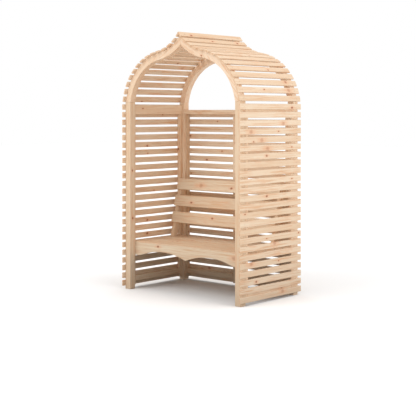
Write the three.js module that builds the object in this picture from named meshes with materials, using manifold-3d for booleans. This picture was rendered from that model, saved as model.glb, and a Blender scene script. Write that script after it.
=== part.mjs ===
// A timber arbour seat: slatted walls on four posts, a slatted roof laid over two pointed ogee
// arches, a bench with a scalloped apron, and a raked back rest of three boards.
// Millimetres, +Z up, +X to the right seen from the front, +Y to the back.
// The origin is on the ground under the middle of the whole.

import * as THREE from 'three';
import { mergeVertices } from 'three/addons/utils/BufferGeometryUtils.js';
import Module from 'manifold-3d';

// Frame of posts, measured over their outer faces
const frameWidth = 1234;
const frameDepth = 712;
const postSize = 57;
const postHeight = 1537;

// Slats of the walls and the roof
const slatWidth = 45;
const slatThickness = 13;
const slatGap = 18;
const slatOverhang = 25;
const groundClearance = 25;

// Stiles and rails inside the slats
const battenThickness = 34;
const stileWidth = 28;
const bottomRailHeight = 45;
const sideRailHeight = 80;
const sideRailDrop = 21;
const backStileWidth = 57;
const backRailHeight = 38;

// Arches: a convex lower member and a reverse-curved upper member on each side, which meet
// the other side's at the ridge
const archWidth = 54;
const archRadius = 458;
const archCentreDrop = 60;
const crownRadius = 380;
const ridgeSlope = THREE.MathUtils.degToRad(51);

// Bench
const seatHeight = 393;
const seatBoardThickness = 22;
const seatBoardCount = 5;
const seatBoardGap = 5;
const seatEndClearance = 2;
const apronThickness = 28;
const apronDepth = 115;
const apronEarWidth = 73;
const scallopRise = 46;
const bearerWidth = 34;
const bearerHeight = 45;

// Back rest
const backRake = THREE.MathUtils.degToRad(14);
const backFootFromRear = 238;
const backBoardCount = 3;
const backBoardWidth = 94;
const backBoardThickness = 22;
const backBoardPitch = 143;
const backBoardLift = 121;
const backEndClearance = 5;
const supportWidth = 34;
const supportDepth = 45;
const supportTopDrop = 10;

// Clearance between pieces that touch
const jointGap = 0.3;

// Points of one scallop, as shares of its span and of its rise
const scallopSpanShares = [0, 0.1, 0.2, 0.3, 0.5, 0.68, 0.8, 0.9, 1];
const scallopRiseShares = [0, 0.38, 0.67, 0.88, 1, 0.88, 0.62, 0.28, 0];

// Segments of each drawn arc, and of each stretch of a scallop
const arcSegments = 16;
const scallopSegments = 3;

// Sizes and places that follow from those above
const slatPitch = slatWidth + slatGap;
const wallRows = Math.floor((postHeight - groundClearance) / slatPitch);
const backRows = wallRows - 1;
const wallFace = frameWidth / 2 + jointGap;
const backFace = frameDepth + jointGap;
const postInnerFace = frameWidth / 2 - postSize;
const sideRailTop = postHeight - sideRailDrop;
const railUnderside = sideRailTop - sideRailHeight;
const bottomRailMiddle = groundClearance + slatWidth + slatGap / 2;

const frameTimber = new THREE.MeshStandardMaterial({ color: 0xe9c9a8, roughness: 0.75, metalness: 0 });
const slatTimber = new THREE.MeshStandardMaterial({ color: 0xe3bf9a, roughness: 0.8, metalness: 0 });
const seatTimber = new THREE.MeshStandardMaterial({ color: 0xe0bf9c, roughness: 0.7, metalness: 0 });

const wasm = await Module();
wasm.setup();

// Everything is placed from the front face of the posts, and the group centres the depth.
const arbour = new THREE.Group();
arbour.position.y = -frameDepth / 2;

function addMesh(name, geometry, material) {
  const mesh = new THREE.Mesh(geometry, material);
  mesh.name = name;
  arbour.add(mesh);
  return mesh;
}

// A square-cut timber between two limits on each axis
function blockGeometry([x0, x1], [y0, y1], [z0, z1]) {
  const geometry = new THREE.BoxGeometry(x1 - x0, y1 - y0, z1 - z0);
  return geometry.translate((x0 + x1) / 2, (y0 + y1) / 2, (z0 + z1) / 2);
}

function addBlock(name, xs, ys, zs, material) {
  return addMesh(name, blockGeometry(xs, ys, zs), material);
}

// Limits on X for the right side, or mirrored for the left
function onSide(side, x0, x1) {
  return side > 0 ? [x0, x1] : [-x1, -x0];
}

// Several blocks nailed up into one panel
function joinBlocks(geometries) {
  const solids = geometries.map((geometry) => {
    geometry.deleteAttribute('normal');
    geometry.deleteAttribute('uv');
    const merged = mergeVertices(geometry);
    return new wasm.Manifold(new wasm.Mesh({
      numProp: 3,
      vertProperties: merged.attributes.position.array,
      triVerts: new Uint32Array(merged.index.array),
    }));
  });
  const joined = solids.reduce((whole, solid) => whole.add(solid)).getMesh();
  const geometry = new THREE.BufferGeometry();
  geometry.setAttribute('position', new THREE.BufferAttribute(joined.vertProperties, 3));
  geometry.setIndex(new THREE.BufferAttribute(joined.triVerts, 1));
  const faceted = geometry.toNonIndexed();
  faceted.computeVertexNormals();
  return faceted;
}

// A board sawn to an outline drawn in X and Z, mirrored for the left side
function sawnBoard(shape, side, segments, [y0, y1]) {
  const { shape: points } = shape.extractPoints(segments);
  const outline = new THREE.Shape(points.map((point) => new THREE.Vector2(side * point.x, point.y)));
  const geometry = new THREE.ExtrudeGeometry(outline, { depth: y1 - y0, bevelEnabled: false });
  return geometry.rotateX(Math.PI / 2).translate(0, y1, 0);
}

// Four posts
const frontLayer = [0, postSize];
const rearLayer = [frameDepth - postSize, frameDepth];
const corners = [
  ['front_left', -1, frontLayer],
  ['front_right', 1, frontLayer],
  ['rear_left', -1, rearLayer],
  ['rear_right', 1, rearLayer],
];
for (const [place, side, layer] of corners) {
  const across = onSide(side, postInnerFace, frameWidth / 2);
  addBlock(`post_${place}`, across, layer, [0, postHeight], frameTimber);
}

// Side and roof slats run past the frame at the front and at the rear.
const slatDepths = [-slatOverhang, frameDepth + slatOverhang];

// Heights of one row of wall slats
function rowHeights(row) {
  const underside = groundClearance + row * slatPitch;
  return [underside, underside + slatWidth];
}

const bottomRailHeights = [
  bottomRailMiddle - bottomRailHeight / 2,
  bottomRailMiddle + bottomRailHeight / 2,
];

// Side walls: slats over two stiles, a bottom rail and a deep top rail
const frontStileDepths = [postSize + jointGap, postSize + jointGap + stileWidth];
const rearStileDepths = frontStileDepths.map((depth) => frameDepth - depth).reverse();

function sideWall(side) {
  const slatLayer = onSide(side, wallFace, wallFace + slatThickness);
  const battenLayer = onSide(side, wallFace - battenThickness, wallFace);
  const stileHeights = [groundClearance, railUnderside];
  const topRailDepths = [frontStileDepths[0], rearStileDepths[1]];
  const blocks = [
    blockGeometry(battenLayer, frontStileDepths, stileHeights),
    blockGeometry(battenLayer, rearStileDepths, stileHeights),
    blockGeometry(battenLayer, [frontStileDepths[1], rearStileDepths[0]], bottomRailHeights),
    blockGeometry(battenLayer, topRailDepths, [railUnderside, sideRailTop]),
  ];
  for (let row = 0; row < wallRows; row++) {
    blocks.push(blockGeometry(slatLayer, slatDepths, rowHeights(row)));
  }
  return joinBlocks(blocks);
}

addMesh('side_wall_left', sideWall(-1), slatTimber);
addMesh('side_wall_right', sideWall(1), slatTimber);

// Back wall: slats over a centre stile and a bottom rail, under a top rail
const backRailEnds = [jointGap - postInnerFace, postInnerFace - jointGap];

function backWall() {
  const battenLayer = [backFace - battenThickness, backFace];
  const stileWidths = [-backStileWidth / 2, backStileWidth / 2];
  const blocks = [
    blockGeometry(stileWidths, battenLayer, [groundClearance, railUnderside - jointGap]),
    blockGeometry(backRailEnds, battenLayer, bottomRailHeights),
  ];
  const slatEnds = [-frameWidth / 2, frameWidth / 2];
  for (let row = 0; row < backRows; row++) {
    blocks.push(blockGeometry(slatEnds, [backFace, backFace + slatThickness], rowHeights(row)));
  }
  return joinBlocks(blocks);
}

addMesh('back_wall', backWall(), slatTimber);
const backRailHeights = [railUnderside, railUnderside + backRailHeight];
addBlock('back_top_rail', backRailEnds, rearLayer, backRailHeights, frameTimber);

// Arches: each side's outer edge turns up round one centre, then back round a second above it,
// and comes to the ridge at the ridge's slope.
const archCentre = new THREE.Vector2(frameWidth / 2 - archRadius, postHeight - archCentreDrop);
const centreDistance = archRadius + crownRadius;
const centreReach = crownRadius * Math.sin(ridgeSlope) - archCentre.x;
const archTurn = Math.acos(centreReach / centreDistance);
const centreRise = centreDistance * Math.sin(archTurn);
const crownCentre = new THREE.Vector2(centreReach, centreRise).add(archCentre);

function lowerMember() {
  const innerRadius = archRadius - archWidth;
  const footRise = archCentreDrop + jointGap;
  const outerFoot = Math.asin(footRise / archRadius);
  const innerFoot = Math.asin(footRise / innerRadius);
  const end = archTurn - jointGap / 2 / innerRadius;
  const shape = new THREE.Shape();
  shape.absarc(archCentre.x, archCentre.y, archRadius, outerFoot, end, false);
  shape.absarc(archCentre.x, archCentre.y, innerRadius, end, innerFoot, true);
  return shape;
}

function upperMember() {
  const innerRadius = crownRadius + archWidth;
  const reach = crownCentre.x - jointGap / 2;
  const start = Math.PI + archTurn - jointGap / 2 / crownRadius;
  const outerTip = Math.PI + Math.acos(reach / crownRadius);
  const innerTip = Math.PI + Math.acos(reach / innerRadius);
  const shape = new THREE.Shape();
  shape.absarc(crownCentre.x, crownCentre.y, crownRadius, start, outerTip, true);
  shape.absarc(crownCentre.x, crownCentre.y, innerRadius, innerTip, start, false);
  return shape;
}

for (const [place, side, layer] of corners) {
  const lower = sawnBoard(lowerMember(), side, arcSegments, layer);
  const upper = sawnBoard(upperMember(), side, arcSegments, layer);
  addMesh(`arch_lower_${place}`, lower, frameTimber);
  addMesh(`arch_upper_${place}`, upper, frameTimber);
}

// How far a flat of the given width falls inside a circle
function sagitta(radius, width) {
  return radius - Math.sqrt(radius ** 2 - (width / 2) ** 2);
}

// The roof slats' middles follow the arches: round the lower arc, then back round the crown.
// On the crown a flat slat bears on its two edges, so it stands off by its own sagitta and
// by that of the arc's facets.
const crownFacet = crownRadius * archTurn / (2 * arcSegments);
const crownSeatGap = jointGap + sagitta(crownRadius, slatWidth) + sagitta(crownRadius, crownFacet);
const archSlatRadius = archRadius + jointGap + slatThickness / 2;
const crownSlatRadius = crownRadius - crownSeatGap - slatThickness / 2;

// The angle at which a slat's edge, on its inner face, comes to a given reach from the centre
function angleAtReach(reach, radius, edge) {
  return Math.asin(reach / Math.hypot(radius, edge)) + Math.atan2(edge, radius);
}

const halfSlat = slatWidth / 2;
const firstAngle = angleAtReach(archCentreDrop + jointGap, archRadius + jointGap, halfSlat);
const crownReach = crownCentre.x - jointGap / 2;
const ridgeRadius = crownRadius - crownSeatGap - slatThickness;
const ridgeAngle = angleAtReach(crownReach, ridgeRadius, -halfSlat);
const crownStart = Math.PI / 2 - archTurn;
const lowerRun = archSlatRadius * archTurn;
const firstRun = archSlatRadius * firstAngle;
const ridgeRun = lowerRun + crownSlatRadius * (ridgeAngle - crownStart);
const roofSpaces = Math.round((ridgeRun - firstRun) / slatPitch);

// Place and tilt of a roof slat on the right side, at a distance along that line
function roofPlace(run) {
  if (run < lowerRun) {
    const turn = run / archSlatRadius;
    const out = new THREE.Vector2(Math.cos(turn), Math.sin(turn)).multiplyScalar(archSlatRadius);
    return { middle: out.add(archCentre), tilt: Math.PI / 2 - turn };
  }
  const tilt = crownStart + (run - lowerRun) / crownSlatRadius;
  const out = new THREE.Vector2(-Math.sin(tilt), -Math.cos(tilt)).multiplyScalar(crownSlatRadius);
  return { middle: out.add(crownCentre), tilt };
}

// The long edges of one face of a roof slat, cut plumb where the two sides meet at the ridge
function faceEdges({ middle, tilt }, offset) {
  const down = new THREE.Vector2(Math.cos(tilt), -Math.sin(tilt));
  const face = new THREE.Vector2(Math.sin(tilt), Math.cos(tilt)).multiplyScalar(offset).add(middle);
  const rise = Math.min(halfSlat, (face.x - jointGap / 2) / down.x);
  const upper = face.clone().addScaledVector(down, -rise);
  const lower = face.clone().addScaledVector(down, halfSlat);
  return [upper, lower];
}

for (const [hand, side] of [['left', -1], ['right', 1]]) {
  for (let space = 0; space <= roofSpaces; space++) {
    const place = roofPlace(firstRun + (ridgeRun - firstRun) * space / roofSpaces);
    const inner = faceEdges(place, -slatThickness / 2);
    const outer = faceEdges(place, slatThickness / 2);
    const outline = new THREE.Shape([...inner, ...outer.reverse()]);
    const number = String(space + 1).padStart(2, '0');
    addMesh(`roof_slat_${hand}_${number}`, sawnBoard(outline, side, 1, slatDepths), slatTimber);
  }
}

// Bench boards, laid from behind the apron to the rear stiles
const benchInset = postSize + Math.max(stileWidth, apronThickness) + 2 * jointGap;
const benchDepths = [benchInset, frameDepth - benchInset];
const benchRun = benchDepths[1] - benchDepths[0];
const seatBoardWidth = (benchRun - (seatBoardCount - 1) * seatBoardGap) / seatBoardCount;
const seatUnderside = seatHeight - seatBoardThickness;
const seatReach = wallFace - seatEndClearance;
for (let board = 0; board < seatBoardCount; board++) {
  const front = benchDepths[0] + board * (seatBoardWidth + seatBoardGap);
  const depths = [front, front + seatBoardWidth];
  const heights = [seatUnderside, seatHeight];
  addBlock(`seat_board_${board + 1}`, [-seatReach, seatReach], depths, heights, seatTimber);
}

// Bearers under the bench: one on each side wall, and one from the apron to the back stile
const bearerTop = seatUnderside - jointGap;
const bearerHeights = [bearerTop - bearerHeight, bearerTop];
for (const [hand, side] of [['left', -1], ['right', 1]]) {
  const bearerLayer = onSide(side, wallFace - jointGap - bearerWidth, wallFace - jointGap);
  addBlock(`seat_bearer_${hand}`, bearerLayer, benchDepths, bearerHeights, frameTimber);
}
const centreDepths = [benchInset, backFace - battenThickness - jointGap];
addBlock('seat_bearer_centre', [-bearerWidth / 2, bearerWidth / 2], centreDepths, bearerHeights, frameTimber);

// Apron between the front stiles, with a scallop each side of a pendant point
function apron() {
  const reach = wallFace - battenThickness - jointGap;
  const underside = seatHeight - apronDepth;
  const span = reach - apronEarWidth;
  const rightScallop = scallopSpanShares.map((share, i) => (
    new THREE.Vector2(share * span, underside + scallopRiseShares[i] * scallopRise)
  ));
  const leftScallop = rightScallop.map((point) => new THREE.Vector2(-point.x, point.y)).reverse();
  const shape = new THREE.Shape();
  shape.moveTo(-reach, seatHeight);
  shape.lineTo(-reach, underside);
  shape.lineTo(-span, underside);
  shape.splineThru(leftScallop.slice(1));
  shape.splineThru(rightScallop.slice(1));
  shape.lineTo(reach, underside);
  shape.lineTo(reach, seatHeight);
  const apronFront = postSize + jointGap;
  return sawnBoard(shape, 1, scallopSegments, [apronFront, apronFront + apronThickness]);
}

addMesh('apron', apron(), seatTimber);

// Back rest: raked supports that stand on the bench, cut level at the foot
const backReach = postInnerFace - backEndClearance;
const backBoardsTop = backBoardLift + (backBoardCount - 1) * backBoardPitch + backBoardWidth;
const supportFoot = seatHeight + jointGap;
const backFootSetback = frameDepth - backFootFromRear;
const alongRake = new THREE.Vector2(Math.sin(backRake), Math.cos(backRake));
const acrossRake = new THREE.Vector2(Math.cos(backRake), -Math.sin(backRake));

function backSupport(side) {
  const frontFoot = new THREE.Vector2(backFootSetback, supportFoot);
  const rearFoot = frontFoot.clone();
  rearFoot.x += supportDepth / Math.cos(backRake);
  const frontTop = frontFoot.clone().addScaledVector(alongRake, backBoardsTop - supportTopDrop);
  const rearTop = frontTop.clone().addScaledVector(acrossRake, supportDepth);
  const outline = new THREE.Shape([frontFoot, rearFoot, rearTop, frontTop]);
  const geometry = new THREE.ExtrudeGeometry(outline, { depth: supportWidth, bevelEnabled: false });
  const [left] = onSide(side, backReach - supportWidth, backReach);
  // The outline is drawn in Y and Z, and the timber's width runs along X.
  geometry.applyMatrix4(new THREE.Matrix4().set(0, 0, 1, left, 1, 0, 0, 0, 0, 1, 0, 0, 0, 0, 0, 1));
  return geometry;
}

addMesh('back_support_left', backSupport(-1), frameTimber);
addMesh('back_support_right', backSupport(1), frameTimber);

for (let board = 0; board < backBoardCount; board++) {
  const up = backBoardLift + board * backBoardPitch + backBoardWidth / 2;
  const middle = new THREE.Vector2(backFootSetback, supportFoot)
    .addScaledVector(alongRake, up)
    .addScaledVector(acrossRake, -jointGap - backBoardThickness / 2);
  const timber = new THREE.BoxGeometry(2 * backReach, backBoardThickness, backBoardWidth);
  const mesh = addMesh(`back_board_${board + 1}`, timber, seatTimber);
  mesh.position.set(0, middle.x, middle.y);
  mesh.rotation.x = -backRake;
}

export default arbour;
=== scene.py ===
import itertools
import math
import random

import bmesh
import bpy
import numpy as np
from mathutils import Matrix, Vector


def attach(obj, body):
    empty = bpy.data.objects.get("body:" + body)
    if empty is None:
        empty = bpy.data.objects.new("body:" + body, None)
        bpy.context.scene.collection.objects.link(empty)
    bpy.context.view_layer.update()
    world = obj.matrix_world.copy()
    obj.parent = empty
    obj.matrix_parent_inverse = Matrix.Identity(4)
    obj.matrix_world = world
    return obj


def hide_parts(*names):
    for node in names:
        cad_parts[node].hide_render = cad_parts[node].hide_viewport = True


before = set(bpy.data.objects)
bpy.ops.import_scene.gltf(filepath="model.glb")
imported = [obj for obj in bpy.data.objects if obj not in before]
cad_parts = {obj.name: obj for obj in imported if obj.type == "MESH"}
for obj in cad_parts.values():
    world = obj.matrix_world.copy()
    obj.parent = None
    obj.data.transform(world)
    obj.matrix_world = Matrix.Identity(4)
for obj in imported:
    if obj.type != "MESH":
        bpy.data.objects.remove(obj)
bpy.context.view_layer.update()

SEED = 41
QUARTER = math.pi / 2

# ---------------------------------------------------------------- sizes in metres
# The frame and its slats, as the solids have them
FRAME_WIDTH = 1.234
FRAME_DEPTH = 0.712
POST_SIZE = 0.057
JOINT_GAP = 0.0003
WALL_FACE = FRAME_WIDTH / 2 + JOINT_GAP
FRONT = -FRAME_DEPTH / 2
REAR = FRAME_DEPTH / 2
POST_MIDDLE_X = FRAME_WIDTH / 2 - POST_SIZE / 2
POST_MIDDLE_Y = FRAME_DEPTH / 2 - POST_SIZE / 2

SLAT_WIDTH = 0.045
SLAT_THICKNESS = 0.013
SLAT_PITCH = 0.063
SLAT_OVERHANG = 0.025
DEEP_SLAT_LENGTH = FRAME_DEPTH + 2 * SLAT_OVERHANG
GROUND_CLEARANCE = 0.025
SIDE_ROWS = 24
BACK_ROWS = 23

BATTEN_THICKNESS = 0.034
STILE_WIDTH = 0.028
BACK_STILE_WIDTH = 0.057
BOTTOM_RAIL = (0.0565, 0.1015)
RAIL_UNDERSIDE = 1.436
SIDE_RAIL_TOP = 1.516

# In the scene alone: a lath beside each rear post, inside the slats of the back (the right one's width is a
# guess), and side bearers with their undersides planed off by this much, so that the gap behind them is open
LEFT_LATH_WIDTH, RIGHT_LATH_WIDTH = 0.014, 0.042
SIDE_BEARERS = ("seat_bearer_left", "seat_bearer_right")
BEARER_TRIM = 0.017

# Eased edges: how far each is planed back, in how many steps, and the least turn, in degrees, that is an edge
TIMBER_EDGE, TIMBER_STEPS, TIMBER_TURN = 0.0022, 2, 30
SLAT_END_EDGE, SLAT_END_STEPS, SLAT_END_TURN = 0.0007, 1, 60
# A slat's long edges are planed off flat: how far back, and in how many facets
SLAT_EDGE, SLAT_EDGE_FACETS = 0.0016, 1

# How a solid's loose triangles become faces: what is merged, and the turn in degrees that is still flat
WELD_DISTANCE = 0.00002
FLAT_TURN = 0.6
# What still counts as on the ridge's plane, and the digits to which the corners of a slat's end agree
CUT_TOLERANCE = 1e-6
CORNER_DIGITS = 5
# Turn in degrees past which a face doesn't shade into the next, and how strongly large faces lead the shading
SHARP_TURN = 50
LARGE_FACE_WEIGHT = 100

# Screw heads: countersunk, a little proud of the wood, with a cross recess
HEAD_RADIUS = 0.0034
HEAD_STAND = 0.0005
RECESS_WIDTH = 0.0008
HEAD_SIDES = 14
# As shares of the head's radius: the top's radius, and the length of the cross
HEAD_TOP, RECESS_LENGTH = 0.86, 1.1
# As multiples of the head's stand: how deep the head and the bars that cut the cross are
HEAD_DEPTH, RECESS_DEPTH = 2.0, 1.6

# Where the bench's screws are: in from the frame's sides, and to each side of a board's middle
BEARER_SCREW_X = FRAME_WIDTH / 2 - BATTEN_THICKNESS / 2 - 0.006
SUPPORT_SCREW_X = FRAME_WIDTH / 2 - 0.079
SEAT_SCREW_SPREAD = 0.03
BACK_SCREW_SPREAD = 0.027

# ---------------------------------------------------------------- knots and tones of single boards
# Knots where the object has them, as a place in the frame and a radius, in metres
SMALL_KNOT, DARK_KNOT, DEAD_KNOT, WIDE_KNOT = 0.0065, 0.0095, 0.0115, 0.0165
KNOTS = (
    # outer face of the right wall, from the ground up
    (0.63, -0.19, 0.17, DARK_KNOT), (0.63, 0.09, 0.30, SMALL_KNOT), (0.63, -0.25, 0.31, WIDE_KNOT),
    (0.63, 0.04, 0.44, WIDE_KNOT), (0.63, -0.06, 0.485, SMALL_KNOT), (0.63, 0.35, 0.495, SMALL_KNOT),
    (0.63, -0.06, 0.81, DARK_KNOT), (0.63, 0.26, 0.93, SMALL_KNOT), (0.63, -0.06, 1.12, DARK_KNOT),
    (0.63, -0.05, 1.175, WIDE_KNOT), (0.63, 0.26, 1.18, SMALL_KNOT), (0.63, -0.22, 1.23, SMALL_KNOT),
    (0.63, -0.12, 1.24, WIDE_KNOT), (0.63, -0.25, 1.305, WIDE_KNOT), (0.63, 0.09, 1.305, SMALL_KNOT),
    (0.63, 0.15, 1.365, WIDE_KNOT), (0.63, 0.262, 1.489, DEAD_KNOT),
    # inner faces of the left wall and of the back
    (-0.617, -0.10, 0.545, DARK_KNOT), (-0.617, -0.10, 1.17, DARK_KNOT),
    (-0.35, 0.356, 1.045, DARK_KNOT), (-0.23, 0.356, 1.375, SMALL_KNOT),
    # roof, outside on the right and underneath on the left
    (0.02, -0.25, 2.06, DARK_KNOT), (0.06, -0.04, 2.02, DARK_KNOT), (0.06, 0.27, 2.02, DEAD_KNOT),
    (0.605, -0.06, 1.628, SMALL_KNOT), (0.605, 0.25, 1.625, WIDE_KNOT),
    (-0.612, -0.17, 1.545, SMALL_KNOT), (-0.405, 0.05, 1.863, DARK_KNOT), (-0.455, 0.16, 1.826, WIDE_KNOT),
    # front arch, back rest and apron
    (0.22, -0.356, 1.89, SMALL_KNOT), (-0.28, 0.205, 0.835, WIDE_KNOT), (0.055, 0.203, 0.826, DARK_KNOT),
    (-0.36, 0.169, 0.689, DARK_KNOT), (-0.10, 0.14, 0.574, DARK_KNOT),
    (-0.30, -0.299, 0.367, DARK_KNOT), (0.50, -0.299, 0.346, WIDE_KNOT),
)
KNOT_REACH = 0.006
NO_KNOT = (0.0, 0.0, 0.0)

# Knots drawn at random: the chance on a metre of board, up to LONG_BOARD, their radii as shares of its width,
# up to BROAD_BOARD, and how far from its middle they lie, as shares of its length and width
SLAT_KNOTS = {"left": 0.3, "right": 0.15}
BACK_SLAT_KNOTS, BATTEN_KNOTS, BENCH_KNOTS, FRAME_KNOTS = 0.25, 0.5, 0.7, 0.4
LONG_BOARD, BROAD_BOARD = 1.2, 0.05
WIDE_KNOT_CHANCE = 0.45
WIDE_KNOT_SHARES, SMALL_KNOT_SHARES = (0.24, 0.36), (0.12, 0.18)
KNOTS_ALONG, KNOTS_ACROSS = 0.45, 0.3

# Timbers drawn darker (above 0) or paler (below 0) than the rest. The back supports are darker as painted
# shade behind the back rest, and the rear posts paler as painted light in the arbour's shade
TONES = {
    "roof_slat_right_13": 1.4, "roof_slat_right_07": 1.0, "roof_slat_right_05": 1.0,
    "roof_slat_left_07": 1.0, "roof_slat_left_05": -0.6, "roof_slat_left_04": -1.0,
    "post_rear_left": -0.8, "post_rear_right": -0.8,
    "back_support_left": 2.2, "back_support_right": 2.2,
}
# Each board's own nature: the span that its seed is drawn from, and how much its tone differs either way
SEED_SPAN = 40
TONE_SPREAD = 0.5
# A face is sawn end grain where it looks along the board, within this cosine
END_GRAIN_COSINE = 0.75
# A section counts as square where its spread one way is more than this share of the other, and a direction
# counts as an axis of the frame within this cosine
SQUARE_SHARE = 0.8
STRAIGHT_COSINE = 0.998


# ---------------------------------------------------------------- node helpers
def wire(tree, source, target):
    tree.links.new(source, target)


def put(tree, kind, **settings):
    """A node with its properties set, and its inputs set or linked by name or number."""
    node = tree.nodes.new(kind)
    inputs = settings.pop("inputs", {})
    for name, value in settings.items():
        setattr(node, name, value)
    for key, value in inputs.items():
        if isinstance(value, bpy.types.NodeSocket):
            wire(tree, value, node.inputs[key])
        else:
            node.inputs[key].default_value = value
    return node


def maths(tree, operation, a, b=None, c=None, clamp=False):
    given = {i: value for i, value in enumerate((a, b, c)) if value is not None}
    return put(tree, "ShaderNodeMath", operation=operation, use_clamp=clamp, inputs=given).outputs[0]


def vector_maths(tree, operation, a, b=None):
    given = {i: value for i, value in enumerate((a, b)) if value is not None}
    return put(tree, "ShaderNodeVectorMath", operation=operation, inputs=given)


def ramp(tree, value, low, high, out_low=0.0, out_high=1.0):
    """Rises smoothly from out_low to out_high as the value goes from low to high."""
    given = {0: value, 1: low, 2: high, 3: out_low, 4: out_high}
    return put(tree, "ShaderNodeMapRange", interpolation_type="SMOOTHSTEP", inputs=given).outputs[0]


def blend_colour(tree, share, first, second, kind="MIX"):
    """Two colours mixed. A Mix node keeps those in its inputs 6 and 7, and the result in its output 2."""
    return put(tree, "ShaderNodeMix", data_type="RGBA", blend_type=kind, clamp_factor=True,
               inputs={0: share, 6: first, 7: second}).outputs[2]


def colour(red, green, blue):
    """A colour written as it shows on a screen, turned into the shader's own scale."""
    def linear(level):
        level /= 255
        return level / 12.92 if level <= 0.04045 else ((level + 0.055) / 1.055) ** 2.4
    return (linear(red), linear(green), linear(blue), 1.0)


def new_material(name):
    """A material without nodes, and its tree."""
    material = bpy.data.materials.new(name)
    material.use_nodes = True
    material.node_tree.nodes.clear()
    return material, material.node_tree


def finish_surface(tree, inputs):
    """Ends a material in a Principled shader with these inputs."""
    shader = put(tree, "ShaderNodeBsdfPrincipled", inputs=inputs)
    output = put(tree, "ShaderNodeOutputMaterial")
    wire(tree, shader.outputs[0], output.inputs["Surface"])


def new_object(name, data):
    """An object in the scene, at the origin."""
    made = bpy.data.objects.new(name, data)
    bpy.context.scene.collection.objects.link(made)
    return made


# ---------------------------------------------------------------- pine
# Patterns in the wood: how fast each changes along, across and through a board, its detail and its roughness
BLOTS = ((70, 90, 60), 2.0, 0.5)
WANDER = ((1.6, 5.0, 5.0), 2.0, 0.5)
WAVES = ((5.0, 28.0, 28.0), 2.0, 0.5)
BANDS = ((0.9, 22.0, 22.0), 2.0, 0.5)
STREAKS = ((3.2, 78.0, 78.0), 3.0, 0.65)
BLUSH = ((6.5, 34.0, 34.0), 2.0, 0.55)
FIBRES = ((16.0, 620.0, 620.0), 2.0, 0.6)
FLECKS = ((26.0, 260.0, 260.0), 2.0, 0.5)
# How far apart two boards' patterns lie along, across and through, for each unit between their seeds
PATTERN_STEP = (3.7, 1.31, 2.17)
# The levels between which each pattern starts to show and shows in full
BAND_LEVELS, STREAK_LEVELS, BLUSH_LEVELS, FLECK_LEVELS = (0.3, 0.7), (0.48, 0.66), (0.54, 0.74), (0.62, 0.8)

# A knot, in its own radii: the oval that it bends and warms, the knot's own oval, and where each of its marks
# fades out and is full. The least radius, in metres, keeps a board without knots from a division by nothing
LEAST_RADIUS = 0.0001
FIELD_ALONG, FIELD_ACROSS, KNOT_OVAL = 5.0, 2.0, 0.55
BEND_FADE, HALO_FADE, CORE_FADE, HEART_FADE = (1.3, 0.1), (1.15, 0.2), (1.2, 0.6), (0.6, 0.15)
GRAIN_BEND = 0.85
KNOT_UNEVEN = 0.9
# By radius in metres: where a knot starts to count, and between which a wide, pale knot turns to a small,
# dark one, with the strength of each
KNOT_COUNTS = (0.0005, 0.001)
KNOT_PALES = (0.0145, 0.011, 0.42, 1.0)

# Rings round the pith, in metres: how far the pith lies to the side and under the board, how far it drifts,
# how the rings widen along the board and how wavy they are
PITH_ASIDE, PITH_UNDER, PITH_UNDER_SPREAD, PITH_DRIFT = 0.03, 0.036, 0.018, 0.022
# What makes an angle of a board's seed, for the place of its pith
ASIDE_TURNS, UNDER_TURNS = 91.7, 57.3
RING_TAPER, RING_WAVE = 0.006, 0.003
# The dark wood of a ring: where it fades out and is full, as shares of the ring, and how late it sets in
LATE_WOOD_END, LATE_WOOD_POWER = (1.0, 0.9), 2.2

# How much of each colour is laid on. Pairs are a factor and what is added to it
BAND_SHARE, TONE_SHARE = 0.55, (0.5, 0.25)
STREAK_WARMTH, BLUSH_WARMTH = (0.7, 0.5), (0.6, 0.25)
LATE_WOOD_SHARE, FLECK_SHARE, FIBRE_SHARE, END_GRAIN_SHARE = 0.5, 0.16, (0.3, -0.05), 0.35
HALO_SHARE, CORE_SHARE, HEART_SHARE = 0.62, 0.8, 0.8
HEART_TINT = (0.5, 0.42, 0.38, 1.0)
HALO_COLOUR, KNOT_COLOUR = colour(224, 175, 138), colour(172, 108, 80)

# Roughness and relief
FIBRE_ROUGHNESS, KNOT_POLISH = (0.16, -0.08), 0.12
LATE_WOOD_HEIGHT, FIBRE_HEIGHT, KNOT_HEIGHT = 0.45, 0.55, 0.35
GRAIN_BUMP, GRAIN_DEPTH = 0.35, 0.0004
WOOD_SPECULAR = 0.3


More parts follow.
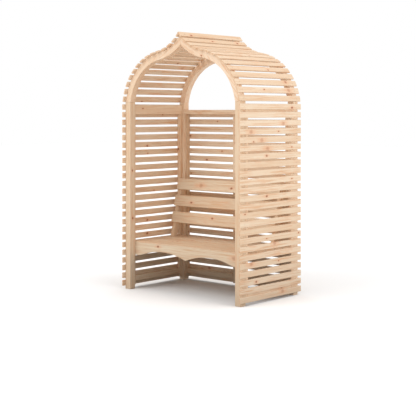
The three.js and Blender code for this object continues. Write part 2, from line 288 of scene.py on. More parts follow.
def pine_group():
    """Sawn pine: rings round a far pith, streaks along the board, fibres, and up to two knots."""
    tree = bpy.data.node_groups.new("sawn_pine", "ShaderNodeTree")
    face = tree.interface
    for kind, names in (
        ("NodeSocketVector", ("Grain", "Board", "Knot A", "Knot B")),
        ("NodeSocketFloat", ("End grain",)),
        ("NodeSocketColor", ("Pale", "Deep", "Streak", "Halo", "Knot")),
    ):
        for name in names:
            face.new_socket(name, in_out="INPUT", socket_type=kind)
    for name, low, high in (
        ("Ring spacing", 0.001, 0.02), ("Streak strength", 0.0, 1.0), ("Roughness", 0.0, 1.0),
    ):
        socket = face.new_socket(name, in_out="INPUT", socket_type="NodeSocketFloat")
        socket.min_value, socket.max_value = low, high
    for name, kind in (
        ("Color", "NodeSocketColor"), ("Roughness", "NodeSocketFloat"), ("Height", "NodeSocketFloat"),
    ):
        face.new_socket(name, in_out="OUTPUT", socket_type=kind)
    given = tree.nodes.new("NodeGroupInput").outputs
    result = tree.nodes.new("NodeGroupOutput")

    def times(a, b, clamp=False):
        return maths(tree, "MULTIPLY", a, b, clamp=clamp)

    def plus(a, b, clamp=False):
        return maths(tree, "ADD", a, b, clamp=clamp)

    def minus(a, b, clamp=False):
        return maths(tree, "SUBTRACT", a, b, clamp=clamp)

    def over(a, b):
        return maths(tree, "DIVIDE", a, b)

    def scaled(value, factor, added, clamp=False):
        return maths(tree, "MULTIPLY_ADD", value, factor, added, clamp=clamp)

    def distance(a, b):
        return maths(tree, "SQRT", plus(times(a, a), times(b, b)))

    along, across, through = put(tree, "ShaderNodeSeparateXYZ", inputs={0: given["Grain"]}).outputs
    seed, tone, warmth = put(tree, "ShaderNodeSeparateXYZ", inputs={0: given["Board"]}).outputs
    shift = put(tree, "ShaderNodeCombineXYZ", inputs={
        axis: times(seed, step) for axis, step in enumerate(PATTERN_STEP)
    }).outputs[0]
    own = vector_maths(tree, "ADD", given["Grain"], shift).outputs[0]

    def pattern(stretch, detail, roughness):
        place = vector_maths(tree, "MULTIPLY", own, stretch).outputs[0]
        return put(tree, "ShaderNodeTexNoise", inputs={
            "Vector": place, "Scale": 1.0, "Detail": detail, "Roughness": roughness,
        }).outputs["Fac"]

    # Knots push the grain aside, carry a warm halo along the board, and have a dark rim and heart
    uneven = scaled(pattern(*BLOTS), KNOT_UNEVEN, -KNOT_UNEVEN / 2)
    pushed = across
    marks = []
    for name in ("Knot A", "Knot B"):
        knot_along, knot_across, radius = put(tree, "ShaderNodeSeparateXYZ", inputs={0: given[name]}).outputs
        size = maths(tree, "MAXIMUM", radius, LEAST_RADIUS)
        aside = minus(across, knot_across)
        out_along = over(minus(along, knot_along), size)
        out_across = over(aside, size)
        far = distance(times(out_along, 1 / FIELD_ALONG), times(out_across, 1 / FIELD_ACROSS))
        pushed = minus(pushed, times(aside, times(ramp(tree, far, *BEND_FADE), GRAIN_BEND)))
        oval = times(times(out_along, out_along), KNOT_OVAL)
        near = maths(tree, "SQRT", plus(oval, times(out_across, out_across)))
        near = plus(near, uneven)
        counts = ramp(tree, radius, *KNOT_COUNTS)
        firm = times(ramp(tree, radius, *KNOT_PALES), counts)
        marks.append((
            times(ramp(tree, plus(far, uneven), *HALO_FADE), counts),
            times(ramp(tree, near, *CORE_FADE), firm),
            times(ramp(tree, near, *HEART_FADE), times(firm, firm)),
        ))
    halo, core, heart = (maths(tree, "MAXIMUM", *pair) for pair in zip(*marks))

    # Rings round a pith that lies outside the board and wanders along it
    drift = scaled(pattern(*WANDER), PITH_DRIFT, -PITH_DRIFT / 2)
    pith_aside = times(maths(tree, "SINE", times(seed, ASIDE_TURNS)), PITH_ASIDE)
    pith_under = scaled(maths(tree, "SINE", times(seed, UNDER_TURNS)), PITH_UNDER_SPREAD, PITH_UNDER)
    from_pith = distance(plus(minus(pushed, pith_aside), drift), plus(through, pith_under))
    from_pith = scaled(along, RING_TAPER, from_pith)
    from_pith = scaled(pattern(*WAVES), RING_WAVE, from_pith)
    phase = maths(tree, "FRACT", over(from_pith, given["Ring spacing"]))
    late_wood = maths(tree, "POWER", times(phase, ramp(tree, phase, *LATE_WOOD_END)), LATE_WOOD_POWER)

    # Tone: broad bands, streaks along the board, blush, fibres and flecks
    bands = ramp(tree, pattern(*BANDS), *BAND_LEVELS)
    streaks = ramp(tree, pattern(*STREAKS), *STREAK_LEVELS)
    blush = ramp(tree, pattern(*BLUSH), *BLUSH_LEVELS)
    fibres = pattern(*FIBRES)
    flecks = ramp(tree, pattern(*FLECKS), *FLECK_LEVELS)
    streak_share = times(streaks, times(given["Streak strength"], scaled(warmth, *STREAK_WARMTH)), clamp=True)

    lean = plus(times(bands, BAND_SHARE), scaled(tone, *TONE_SHARE), clamp=True)
    body = blend_colour(tree, lean, given["Pale"], given["Deep"])
    for share, name in (
        (streak_share, "Streak"),
        (times(blush, scaled(warmth, *BLUSH_WARMTH)), "Halo"),
        (times(late_wood, LATE_WOOD_SHARE), "Streak"),
        (times(flecks, FLECK_SHARE), "Streak"),
        (scaled(fibres, *FIBRE_SHARE, clamp=True), "Deep"),
        (times(given["End grain"], END_GRAIN_SHARE), "Streak"),
        (times(halo, HALO_SHARE), "Halo"),
        (times(core, CORE_SHARE), "Knot"),
    ):
        body = blend_colour(tree, share, body, given[name])
    dark = blend_colour(tree, 1.0, given["Knot"], HEART_TINT, "MULTIPLY")
    body = blend_colour(tree, times(heart, HEART_SHARE), body, dark)
    wire(tree, body, result.inputs["Color"])

    rough = plus(given["Roughness"], scaled(fibres, *FIBRE_ROUGHNESS))
    rough = minus(rough, times(core, KNOT_POLISH), clamp=True)
    wire(tree, rough, result.inputs["Roughness"])
    height = scaled(late_wood, LATE_WOOD_HEIGHT, times(fibres, FIBRE_HEIGHT))
    height = plus(height, times(core, KNOT_HEIGHT))
    wire(tree, height, result.inputs["Height"])
    return tree


def pine_material(name, group, pale, deep, streak, spacing, streak_strength, roughness):
    """One kind of pine, from the group, its colours and the values that each board carries."""
    material, tree = new_material(name)

    def read(attribute, output="Vector"):
        node = put(tree, "ShaderNodeAttribute", attribute_type="GEOMETRY", attribute_name=attribute)
        return node.outputs[output]

    wood = put(tree, "ShaderNodeGroup", node_tree=group, inputs={
        "Grain": read("grain"), "Board": read("board"),
        "Knot A": read("knot_a"), "Knot B": read("knot_b"), "End grain": read("end_grain", "Fac"),
        "Pale": colour(*pale), "Deep": colour(*deep), "Streak": colour(*streak),
        "Halo": HALO_COLOUR, "Knot": KNOT_COLOUR,
        "Ring spacing": spacing, "Streak strength": streak_strength, "Roughness": roughness,
    })
    bump = put(tree, "ShaderNodeBump", inputs={
        "Strength": GRAIN_BUMP, "Distance": GRAIN_DEPTH, "Height": wood.outputs["Height"],
    })
    finish_surface(tree, {
        "Base Color": wood.outputs["Color"], "Roughness": wood.outputs["Roughness"],
        "Specular IOR Level": WOOD_SPECULAR, "Normal": bump.outputs[0],
    })
    return material


# Pine for each group of timbers: pale, deep and streak colours, ring spacing in metres, strength of the
# streaks, and roughness
PINES = {
    "frame_pine": ((234, 214, 188), (222, 196, 166), (210, 161, 118), 0.0042, 0.75, 0.66),
    # Frame pine made paler, for the side walls' stiles and rails, the rear posts and the back's top rail:
    # painted light on timbers that stand in the shade under the roof
    "painted_light_pine": ((243, 222, 196), (230, 203, 173), (218, 167, 123), 0.0042, 0.75, 0.66),
    "arch_pine": ((242, 220, 197), (232, 205, 176), (223, 177, 138), 0.0046, 0.7, 0.66),
    "slat_pine": ((234, 215, 191), (222, 196, 167), (211, 160, 118), 0.0036, 0.8, 0.7),
    # Pine for the seat, back rest and apron: its wider rings and smoother finish are the boards' own; its
    # colours are a little darker and less red, as painted shade on the seat under the roof
    "bench_pine": ((229, 211, 185), (217, 192, 163), (206, 158, 116), 0.005, 0.8, 0.6),
}

# Dull zinc
ZINC_LIGHT, ZINC_DARK = colour(226, 212, 184), colour(198, 182, 152)
ZINC_CLOUDS, ZINC_CLOUD_DETAIL = 900.0, 2.0
ZINC_ROUGHNESS = (0.2, 0.8, 0.34, 0.52)
ZINC_METAL = 0.9


def zinc_material():
    """Dull zinc with a faint brushed unevenness."""
    material, tree = new_material("zinc_screw")
    place = put(tree, "ShaderNodeTexCoord").outputs["Object"]
    clouds = put(tree, "ShaderNodeTexNoise", inputs={
        "Vector": place, "Scale": ZINC_CLOUDS, "Detail": ZINC_CLOUD_DETAIL,
    }).outputs["Fac"]
    finish_surface(tree, {
        "Base Color": blend_colour(tree, clouds, ZINC_LIGHT, ZINC_DARK),
        "Roughness": ramp(tree, clouds, *ZINC_ROUGHNESS), "Metallic": ZINC_METAL,
    })
    return material


# ---------------------------------------------------------------- boards and their grain
def finished(work, mesh):
    """Writes edited faces into a mesh, and closes them."""
    work.to_mesh(mesh)
    work.free()
    return mesh


def islands(work):
    """The separate boards of a mesh, as lists of vertices."""
    seen = set()
    found = []
    for start in work.verts:
        if start in seen:
            continue
        board, queue = [], [start]
        seen.add(start)
        while queue:
            vertex = queue.pop()
            board.append(vertex)
            for edge in vertex.link_edges:
                other = edge.other_vert(vertex)
                if other not in seen:
                    seen.add(other)
                    queue.append(other)
        found.append(board)
    return found


def middle_of(board):
    """The mean place of a board's vertices."""
    return sum((vertex.co for vertex in board), Vector()) / len(board)


def forwards(direction):
    """A direction turned so that its largest part is positive."""
    return direction * (1 if direction[int(np.argmax(np.abs(direction)))] > 0 else -1)


def board_axes(points):
    """A board's middle, and its directions along, across and through the grain."""
    middle = (points.min(0) + points.max(0)) / 2
    spread, directions = np.linalg.eigh(np.cov((points - points.mean(0)).T))
    along, thin = directions[:, 2], directions[:, 0]
    if spread[0] > spread[1] * SQUARE_SHARE:
        side = np.eye(3)[int(np.argmin(np.abs(along)))]
        thin = side - along * (side @ along)
        thin /= np.linalg.norm(thin)
    for axis in np.eye(3):
        if abs(along @ axis) > STRAIGHT_COSINE:
            along = axis * np.sign(along @ axis)
        if abs(thin @ axis) > STRAIGHT_COSINE:
            thin = axis * np.sign(thin @ axis)
    along, thin = forwards(along), forwards(thin)
    return middle, np.stack([along, np.cross(thin, along), thin])


def random_knots(dice, length, width, chance):
    """Up to two knots on a board, as place along, place across and radius."""
    found = []
    for _ in range(2):
        if dice.random() < chance * min(length, LONG_BOARD):
            shares = WIDE_KNOT_SHARES if dice.random() < WIDE_KNOT_CHANCE else SMALL_KNOT_SHARES
            radius = dice.uniform(*shares) * min(width, BROAD_BOARD)
            along = dice.uniform(-KNOTS_ALONG, KNOTS_ALONG) * length
            across = dice.uniform(-KNOTS_ACROSS, KNOTS_ACROSS) * width
            found.append((along, across, radius))
    return found


def placed_knots(middle, axes, half):
    """The knots of the list that lie on a board, in the board's own coordinates."""
    found = []
    for *place, radius in KNOTS:
        along, across, through = axes @ (np.array(place) - middle)
        if abs(along) < half[0] and abs(across) < half[1] and abs(through) < half[2] + KNOT_REACH:
            found.append((along, across, radius))
    return found


def lay_grain(mesh, dice, chance, deeper=0.0):
    """Gives each board of a mesh its own coordinates along the grain, tone and knots."""
    work = bmesh.new()
    work.from_mesh(mesh)
    vectors = work.verts.layers.float_vector
    grain, nature, knot_a, knot_b = (vectors.new(name) for name in ("grain", "board", "knot_a", "knot_b"))
    end_grain = work.faces.layers.float.new("end_grain")
    for board in sorted(islands(work), key=lambda board: tuple(round(c, 3) for c in middle_of(board))):
        points = np.array([vertex.co for vertex in board])
        middle, axes = board_axes(points)
        local = (points - middle) @ axes.T
        length, width = np.ptp(local[:, 0]), np.ptp(local[:, 1])
        own = (dice.uniform(0, SEED_SPAN), dice.uniform(-1, 1) * TONE_SPREAD + deeper, dice.random())
        drawn = random_knots(dice, length, width, chance)
        knots = placed_knots(middle, axes, np.ptp(local, axis=0) / 2) or drawn
        first, second = (knots + [NO_KNOT] * 2)[:2]
        for vertex, place in zip(board, local):
            vertex[grain] = place
            vertex[nature] = own
            vertex[knot_a] = first
            vertex[knot_b] = second
        along = Vector(axes[0])
        for face in {face for vertex in board for face in vertex.link_faces}:
            face[end_grain] = 1.0 if abs(face.normal.dot(along)) > END_GRAIN_COSINE else 0.0
    return finished(work, mesh)


# ---------------------------------------------------------------- meshes and pieces
def ease(work, width, steps, least_turn):
    """Rounds the edges where two faces meet at more than a given turn."""
    least = math.radians(least_turn)
    sharp = [edge for edge in work.edges if len(edge.link_faces) == 2 and edge.calc_face_angle(0) > least]
    bmesh.ops.bevel(work, geom=sharp, offset=width, offset_type="OFFSET", segments=steps,
                    profile=0.5, affect="EDGES", clamp_overlap=True)


def timber_from_node(node, trim):
    """A CAD solid's copy, with its triangles joined into faces, its underside trimmed and its edges eased."""
    work = bmesh.new()
    work.from_mesh(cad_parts[node].data)
    bmesh.ops.remove_doubles(work, verts=work.verts, dist=WELD_DISTANCE)
    bmesh.ops.dissolve_limit(work, angle_limit=math.radians(FLAT_TURN), verts=work.verts, edges=work.edges)
    middle = sum(vertex.co.z for vertex in work.verts) / len(work.verts)
    for vertex in work.verts:
        if vertex.co.z < middle:
            vertex.co.z += trim
    ease(work, TIMBER_EDGE, TIMBER_STEPS, TIMBER_TURN)
    bmesh.ops.recalc_face_normals(work, faces=work.faces)
    return finished(work, bpy.data.meshes.new(node))


def timber_box(work, xs, ys, zs):
    """Adds a square-cut timber between pairs of limits."""
    low, high = (Vector(corner) for corner in zip(xs, ys, zs))
    for vertex in bmesh.ops.create_cube(work, size=1.0)["verts"]:
        vertex.co = Vector([a + (b - a) * (share + 0.5) for a, b, share in zip(low, high, vertex.co)])


def keep(name, mesh, material, nodes):
    """Turns a finished mesh into a piece that stands for CAD nodes."""
    mesh.materials.clear()
    mesh.materials.append(material)
    mesh.shade_smooth()
    mesh.set_sharp_from_angle(angle=math.radians(SHARP_TURN))
    piece = new_object(name, mesh)
    modifier = piece.modifiers.new("even_normals", "WEIGHTED_NORMAL")
    modifier.keep_sharp = True
    modifier.weight = LARGE_FACE_WEIGHT
    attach(piece, "root")
    if nodes:
        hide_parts(*nodes)


# ---------------------------------------------------------------- slats and screws by geometry nodes
def repeat_tree(name, sizes, shape):
    """A tree that puts one shape on each point of its input, turned as the point says."""
    tree = bpy.data.node_groups.new(name, "GeometryNodeTree")
    face = tree.interface
    face.new_socket("Geometry", in_out="INPUT", socket_type="NodeSocketGeometry")
    for size in sizes:
        face.new_socket(size, in_out="INPUT", socket_type="NodeSocketFloat")
    face.new_socket("Material", in_out="INPUT", socket_type="NodeSocketMaterial")
    face.new_socket("Geometry", in_out="OUTPUT", socket_type="NodeSocketGeometry")
    given = tree.nodes.new("NodeGroupInput").outputs
    one = shape(tree, given)
    turn = put(tree, "GeometryNodeInputNamedAttribute", data_type="FLOAT_VECTOR", inputs={"Name": "turn"})
    copies = put(tree, "GeometryNodeInstanceOnPoints", inputs={
        "Points": given["Geometry"], "Instance": one, "Rotation": turn.outputs[0],
    })
    whole = put(tree, "GeometryNodeRealizeInstances", inputs={0: copies.outputs[0]})
    painted = put(tree, "GeometryNodeSetMaterial", inputs={
        "Geometry": whole.outputs[0], "Material": given["Material"],
    })
    result = tree.nodes.new("NodeGroupOutput")
    wire(tree, painted.outputs[0], result.inputs[0])
    return tree


def slat_shape(tree, given):
    """A slat with its long edges planed off."""
    outline = put(tree, "GeometryNodeCurvePrimitiveQuadrilateral", inputs={
        "Width": given["Slat width"], "Height": given["Slat thickness"],
    })
    eased = put(tree, "GeometryNodeFilletCurve", mode="POLY", inputs={
        "Curve": outline.outputs[0], "Radius": given["Edge radius"],
        "Count": SLAT_EDGE_FACETS, "Limit Radius": True,
    })
    half = maths(tree, "MULTIPLY", given["Slat length"], 0.5)
    back = maths(tree, "MULTIPLY", half, -1.0)
    start = put(tree, "ShaderNodeCombineXYZ", inputs={1: back}).outputs[0]
    end = put(tree, "ShaderNodeCombineXYZ", inputs={1: half}).outputs[0]
    line = put(tree, "GeometryNodeCurvePrimitiveLine", inputs={"Start": start, "End": end})
    return put(tree, "GeometryNodeCurveToMesh", inputs={
        "Curve": line.outputs[0], "Profile Curve": eased.outputs[0], "Fill Caps": True,
    }).outputs[0]


def screw_shape(tree, given):
    """A screw head with a cross cut into its top."""
    def share(name, part):
        return maths(tree, "MULTIPLY", given[name], part)

    def bar(length, width):
        depth = share("Head stand", RECESS_DEPTH)
        size = put(tree, "ShaderNodeCombineXYZ", inputs={0: length, 1: width, 2: depth}).outputs[0]
        return put(tree, "GeometryNodeMeshCube", inputs={"Size": size}).outputs[0]

    head = put(tree, "GeometryNodeMeshCone", inputs={
        "Vertices": HEAD_SIDES, "Radius Top": share("Head radius", HEAD_TOP),
        "Radius Bottom": given["Head radius"], "Depth": share("Head stand", HEAD_DEPTH),
    }).outputs[0]
    length = share("Head radius", RECESS_LENGTH)
    cross = put(tree, "GeometryNodeJoinGeometry")
    wire(tree, bar(length, given["Recess width"]), cross.inputs[0])
    wire(tree, bar(given["Recess width"], length), cross.inputs[0])
    top = put(tree, "ShaderNodeCombineXYZ", inputs={2: share("Head stand", HEAD_DEPTH)}).outputs[0]
    raised = put(tree, "GeometryNodeTransform", inputs={"Geometry": cross.outputs[0], "Translation": top})
    return put(tree, "GeometryNodeMeshBoolean", operation="DIFFERENCE", solver="EXACT", inputs={
        "Mesh 1": head, "Mesh 2": raised.outputs[0], "Self Intersection": True,
    }).outputs[0]


def grown(tree, places, turns, **sizes):
    """Runs a tree on points with a turn each, and gives back a plain mesh."""
    base = bpy.data.meshes.new("points")
    base.from_pydata(places, [], [])
    turn = base.attributes.new("turn", "FLOAT_VECTOR", "POINT")
    turn.data.foreach_set("vector", list(itertools.chain(*turns)))
    holder = new_object("holder", base)
    modifier = holder.modifiers.new("repeat", "NODES")
    modifier.node_group = tree
    # A modifier's inputs are set by their sockets' identifiers
    named = {item.name: item.identifier for item in tree.interface.items_tree
             if item.item_type == "SOCKET" and item.in_out == "INPUT"}
    for name, value in sizes.items():
        modifier[named[name.replace("_", " ")]] = value
    bpy.context.view_layer.update()
    seen = holder.evaluated_get(bpy.context.evaluated_depsgraph_get())
    mesh = bpy.data.meshes.new_from_object(seen)
    holder.modifiers.remove(modifier)
    bpy.data.objects.remove(holder)
    bpy.data.meshes.remove(base)
    return mesh


def slats(places, turns, length):
    """Slats on points, with square ends: a mesh, and its faces open for editing."""
    mesh = grown(slats_on_points, places, turns, Slat_width=SLAT_WIDTH, Slat_thickness=SLAT_THICKNESS,
                 Slat_length=length, Edge_radius=SLAT_EDGE, Material=pines["slat_pine"])
    work = bmesh.new()
    work.from_mesh(mesh)
    bmesh.ops.recalc_face_normals(work, faces=work.faces)
    return mesh, work


# ---------------------------------------------------------------- walls
def row_heights(rows):
    """Heights of the middles of a wall's slats, from the ground up."""
    return [GROUND_CLEARANCE + SLAT_WIDTH / 2 + row * SLAT_PITCH for row in range(rows)]


def wall_slats(name, node, places, turn, length, dice, chance):
    """The level slats of a wall, with their sawn ends eased."""
    mesh, work = slats(places, [turn] * len(places), length)
    ease(work, SLAT_END_EDGE, SLAT_END_STEPS, SLAT_END_TURN)
    lay_grain(finished(work, mesh), dice, chance)
    keep(name, mesh, pines["slat_pine"], [node])


def wall_battens(name, node, timbers, dice, kind):
    """The stiles, rails and laths that a wall's slats are on, from their limits."""
    work = bmesh.new()
    for limits in timbers:
        timber_box(work, *limits)
    ease(work, TIMBER_EDGE, TIMBER_STEPS, TIMBER_TURN)
    mesh = lay_grain(finished(work, bpy.data.meshes.new(name)), dice, BATTEN_KNOTS)
    keep(name, mesh, pines[kind], [node])


def side_wall(hand, side):
    """One side wall: its slats, two stiles, the bottom rail and the deep top rail."""
    dice = random.Random(f"{SEED} side {hand}")
    x = side * (WALL_FACE + SLAT_THICKNESS / 2)
    places = [(x, 0, z) for z in row_heights(SIDE_ROWS)]
    wall_slats(f"side_slats_{hand}", f"side_wall_{hand}", places, (0, QUARTER, 0), DEEP_SLAT_LENGTH,
               dice, SLAT_KNOTS[hand])

    xs = sorted((side * (WALL_FACE - BATTEN_THICKNESS), side * (WALL_FACE - JOINT_GAP / 2)))
    inner = POST_SIZE + JOINT_GAP
    fronts = (FRONT + inner, FRONT + inner + STILE_WIDTH)
    rears = (REAR - inner - STILE_WIDTH, REAR - inner)
    # The stiles and rails take the paler pine, painted light on them in the shade under the roof
    wall_battens(f"side_battens_{hand}", f"side_wall_{hand}", (
        (xs, fronts, (GROUND_CLEARANCE, RAIL_UNDERSIDE)),
        (xs, rears, (GROUND_CLEARANCE, RAIL_UNDERSIDE)),
        (xs, (fronts[1], rears[0]), BOTTOM_RAIL),
        (xs, (fronts[0], rears[1]), (RAIL_UNDERSIDE, SIDE_RAIL_TOP)),
    ), dice, "painted_light_pine")


def back_wall():
    """The back wall: its slats, the centre stile, and on each side a lath and a half of the bottom rail."""
    dice = random.Random(f"{SEED} back")
    y = REAR + JOINT_GAP + SLAT_THICKNESS / 2
    places = [(0, y, z) for z in row_heights(BACK_ROWS)]
    wall_slats("back_slats", "back_wall", places, (0, QUARTER, QUARTER), FRAME_WIDTH, dice, BACK_SLAT_KNOTS)

    ys = (REAR + JOINT_GAP - BATTEN_THICKNESS, REAR + JOINT_GAP / 2)
    reach = FRAME_WIDTH / 2 - POST_SIZE - JOINT_GAP
    half = BACK_STILE_WIDTH / 2
    rise = (GROUND_CLEARANCE, RAIL_UNDERSIDE - JOINT_GAP)
    timbers = [((-half, half), ys, rise)]
    for side, lath in ((-1, LEFT_LATH_WIDTH), (1, RIGHT_LATH_WIDTH)):
        timbers.append((sorted((side * (reach - lath), side * reach)), ys, rise))
        timbers.append((sorted((side * half, side * (reach - lath))), ys, BOTTOM_RAIL))
    wall_battens("back_battens", "back_wall", timbers, dice, "frame_pine")


# ---------------------------------------------------------------- roof
def slat_section(outline):
    """A roof slat's middle and its direction down the roof, from the corners of its end."""
    def misfit(pair):
        return abs(np.linalg.norm(outline[pair[0]] - outline[pair[1]]) - SLAT_WIDTH)

    pair = min(itertools.combinations(range(len(outline)), 2), key=misfit)
    upper, lower = sorted((outline[i] for i in pair), key=lambda corner: -corner[1])
    down = (lower - upper) / np.linalg.norm(lower - upper)
    normal = np.array([-down[1], down[0]])
    others = [corner for i, corner in enumerate(outline) if i not in pair]
    lift = (np.mean(others, axis=0) - upper) @ normal
    return upper + down * SLAT_WIDTH / 2 + normal * math.copysign(SLAT_THICKNESS / 2, lift), down


def cut_plumb(work, side):
    """Cuts what crosses the middle of the ridge, and closes the cut."""
    everything = list(work.verts) + list(work.edges) + list(work.faces)
    cut = bmesh.ops.bisect_plane(work, geom=everything, dist=CUT_TOLERANCE, clear_outer=True,
                                 plane_co=(side * JOINT_GAP / 2, 0, 0), plane_no=(-side, 0, 0))
    rim = [edge for edge in cut["geom_cut"] if isinstance(edge, bmesh.types.BMEdge)]
    if rim:
        bmesh.ops.contextual_create(work, geom=rim)


def roof_side(hand, side):
    """The roof slats of one side. Their places are those of the solids, and the ridge one is cut plumb."""
    dice = random.Random(f"{SEED} roof {hand}")
    nodes = sorted(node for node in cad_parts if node.startswith(f"roof_slat_{hand}_"))
    places, turns = [], []
    for node in nodes:
        points = np.array([vertex.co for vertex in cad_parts[node].data.vertices])
        rear_end = points[points[:, 1] > 0]
        middle, down = slat_section(np.unique(np.round(rear_end[:, [0, 2]], CORNER_DIGITS), axis=0))
        places.append((middle[0], 0.0, middle[1]))
        turns.append((0.0, math.atan2(-down[1], down[0]), 0.0))
    mesh, work = slats(places, turns, DEEP_SLAT_LENGTH)
    cut_plumb(work, side)
    ease(work, SLAT_END_EDGE, SLAT_END_STEPS, SLAT_END_TURN)
    bmesh.ops.recalc_face_normals(work, faces=work.faces)
    work.faces.index_update()
    # The nodes are numbered from the eaves up
    for node, board in zip(nodes, sorted(islands(work), key=lambda board: middle_of(board).z)):
        single = bmesh.new()
        copies = {vertex: single.verts.new(vertex.co) for vertex in board}
        faces = {face for vertex in board for face in vertex.link_faces}
        for face in sorted(faces, key=lambda face: face.index):
            single.faces.new([copies[vertex] for vertex in face.verts])
        slat = finished(single, bpy.data.meshes.new(node))
        lay_grain(slat, dice, SLAT_KNOTS[hand], TONES.get(node, 0.0))
        keep(f"{node}_timber", slat, pines["slat_pine"], [node])
    work.free()
    bpy.data.meshes.remove(mesh)


# ---------------------------------------------------------------- other timbers, one piece to a node
def single_timber(node):
    """A post, arch member, rail, bearer, support or board of the bench."""
    kind, slot, chance = "frame_pine", "frame_timber", FRAME_KNOTS
    if node.startswith(("seat_board", "back_board", "apron")):
        kind, slot, chance = "bench_pine", "bench_boards", BENCH_KNOTS
    elif node.startswith("arch"):
        kind = "arch_pine"
    # The rear posts and the back's top rail take the paler pine, painted light on them in the shade under the
    # roof
    elif node.startswith(("post_rear", "back_top_rail")):
        kind = "painted_light_pine"
    mesh = timber_from_node(node, BEARER_TRIM if node in SIDE_BEARERS else 0.0)
    lay_grain(mesh, random.Random(f"{SEED} {node}"), chance, TONES.get(node, 0.0))
    keep(f"{node}_timber", mesh, pines[kind], [node])


# ---------------------------------------------------------------- screws
def wall_screws():
    """Places and directions of the screws through the slats of the walls, into posts and the back's stile."""
    found = []
    for z in row_heights(SIDE_ROWS):
        for side in (-1, 1):
            x = side * (WALL_FACE + SLAT_THICKNESS)
            found += [((x, y, z), (side, 0.0, 0.0)) for y in (-POST_MIDDLE_Y, POST_MIDDLE_Y)]
    for z in row_heights(BACK_ROWS):
        y = REAR + JOINT_GAP + SLAT_THICKNESS
        found += [((x, y, z), (0.0, 1.0, 0.0)) for x in (-POST_MIDDLE_X, 0.0, POST_MIDDLE_X)]
    return [(np.array(place), np.array(normal)) for place, normal in found]


def on_board(node, outward, alongs, acrosses):
    """Places and directions on the face of a board that looks outward."""
    points = np.array([vertex.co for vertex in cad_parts[node].data.vertices])
    middle, axes = board_axes(points)
    half = np.ptp((points - middle) @ axes[2]) / 2
    normal = axes[2] * math.copysign(1, axes[2] @ outward)
    return [(middle + axes[0] * along + axes[1] * across + normal * half, normal)
            for along in alongs for across in acrosses]


def board_screws():
    """Places and directions of the screws through the roof slats, the seat and the back rest."""
    found = []
    for node in sorted(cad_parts):
        if node.startswith("roof_slat"):
            outward = (1 if "right" in node else -1, 0, 1)
            found += on_board(node, outward, (-POST_MIDDLE_Y, POST_MIDDLE_Y), (0,))
        elif node.startswith("seat_board"):
            found += on_board(node, (0, 0, 1), (-BEARER_SCREW_X, 0, BEARER_SCREW_X),
                              (-SEAT_SCREW_SPREAD, SEAT_SCREW_SPREAD))
        elif node.startswith("back_board"):
            found += on_board(node, (0, -1, 0), (-SUPPORT_SCREW_X, SUPPORT_SCREW_X),
                              (-BACK_SCREW_SPREAD, BACK_SCREW_SPREAD))
    return found


def screws():
    """All screw heads, each turned by chance as a driver leaves it."""
    dice = random.Random(f"{SEED} screws")
    places, turns = [], []
    for place, normal in wall_screws() + board_screws():
        lean = Vector((0, 0, 1)).rotation_difference(Vector(normal)).to_euler()
        spin = Matrix.Rotation(dice.uniform(0, QUARTER), 3, "Z")
        places.append(tuple(place - normal * HEAD_STAND))
        turns.append(tuple((lean.to_matrix() @ spin).to_euler()))
    zinc = zinc_material()
    tree = repeat_tree("screws_on_points", ("Head radius", "Head stand", "Recess width"), screw_shape)
    mesh = grown(tree, places, turns, Head_radius=HEAD_RADIUS, Head_stand=HEAD_STAND,
                 Recess_width=RECESS_WIDTH, Material=zinc)
    keep("screws", mesh, zinc, [])


# ---------------------------------------------------------------- floor, light and camera
WHITE = (1.0, 1.0, 1.0, 1.0)
FLOOR_SIZE = 30
FLOOR_WHITE = (0.92, 0.92, 0.92, 1.0)
# The light that the floor throws back: little close to the arbour, more farther off. Metres from its middle
NEAR_BOUNCE, FAR_BOUNCE = (0.28, 0.27, 0.26, 1.0), (0.9, 0.91, 0.9, 1.0)
NEAR_REACH, FAR_REACH = 0.7, 1.8
DOME_STRENGTH = 0.94
DOME_COLOUR = (0.99, 1.0, 1.01, 1.0)

# Wide, soft lamps: direction from the front, height and spread in degrees, and strength
LAMPS = (
    ("front_lamp", -20, 42, 30, 0.73),
    ("right_lamp", 95, 20, 30, 0.41),
    ("high_lamp", 95, 65, 30, 0.5),
)
LAMP_COLOUR = (1.0, 0.96, 0.93)

# The camera looks level, and its lens is shifted, so that upright lines stay parallel
CAMERA_PLACE = (5.487, -6.254, 1.4515)
CAMERA_TURN = 41.38
SENSOR_WIDTH, FOCAL_LENGTH, LENS_SHIFT = 36.0, 88.75, -0.2296


def floor():
    """A floor that is white to the camera, takes the object's shadow, and throws back less light close by."""
    work = bmesh.new()
    bmesh.ops.create_grid(work, x_segments=1, y_segments=1, size=FLOOR_SIZE)
    mesh = finished(work, bpy.data.meshes.new("floor"))
    material, tree = new_material("floor_white")
    seen = put(tree, "ShaderNodeLightPath").outputs["Is Camera Ray"]
    place = put(tree, "ShaderNodeTexCoord").outputs["Object"]
    away = vector_maths(tree, "LENGTH", place).outputs["Value"]
    bounce = blend_colour(tree, ramp(tree, away, NEAR_REACH, FAR_REACH), NEAR_BOUNCE, FAR_BOUNCE)
    finish_surface(tree, {
        "Base Color": blend_colour(tree, seen, bounce, FLOOR_WHITE),
        "Roughness": 1.0, "Specular IOR Level": 0.0,
    })
    mesh.materials.append(material)
    new_object("floor", mesh)


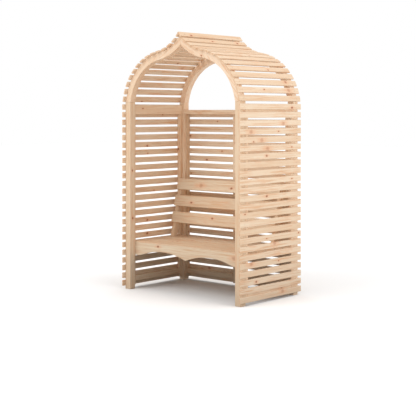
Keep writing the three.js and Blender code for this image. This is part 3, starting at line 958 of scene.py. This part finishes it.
def dome():
    """Soft light from all round, and plain white behind the object and in its gloss."""
    world = bpy.data.worlds.new("studio")
    bpy.context.scene.world = world
    world.use_nodes = True
    tree = world.node_tree
    tree.nodes.clear()
    rays = put(tree, "ShaderNodeLightPath").outputs
    seen = maths(tree, "MAXIMUM", maths(tree, "MAXIMUM", rays["Is Camera Ray"], rays["Is Glossy Ray"]),
                 rays["Is Transmission Ray"])
    strength = maths(tree, "MULTIPLY_ADD", seen, 1.0 - DOME_STRENGTH, DOME_STRENGTH)
    tint = blend_colour(tree, seen, DOME_COLOUR, WHITE)
    background = put(tree, "ShaderNodeBackground", inputs={"Color": tint, "Strength": strength})
    output = put(tree, "ShaderNodeOutputWorld")
    wire(tree, background.outputs[0], output.inputs["Surface"])


def lamps():
    """Three wide, soft lamps: one in front to the left, and two to the right, low and high."""
    for name, azimuth, elevation, spread, strength in LAMPS:
        lamp = bpy.data.lights.new(name, "SUN")
        lamp.energy = strength
        lamp.color = LAMP_COLOUR
        lamp.angle = math.radians(spread)
        new_object(name, lamp).rotation_euler = (math.radians(90 - elevation), 0, math.radians(azimuth))


def camera():
    """The camera, level, and to the right of the front."""
    lens = bpy.data.cameras.new("camera")
    lens.sensor_width = SENSOR_WIDTH
    lens.lens = FOCAL_LENGTH
    lens.shift_y = LENS_SHIFT
    holder = new_object("camera", lens)
    holder.location = CAMERA_PLACE
    holder.rotation_euler = (QUARTER, 0, math.radians(CAMERA_TURN))
    bpy.context.scene.camera = holder


# ---------------------------------------------------------------- the arbour, piece by piece
pine = pine_group()
pines = {name: pine_material(name, pine, *looks) for name, looks in PINES.items()}
slats_on_points = repeat_tree(
    "slats_on_points", ("Slat width", "Slat thickness", "Slat length", "Edge radius"), slat_shape)

side_wall("left", -1)
side_wall("right", 1)
back_wall()
roof_side("left", -1)
roof_side("right", 1)
for node in sorted(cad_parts):
    if not node.startswith(("roof_slat", "side_wall", "back_wall")):
        single_timber(node)
screws()

floor()
dome()
lamps()
camera()
bpy.context.scene.view_settings.view_transform = "Standard"
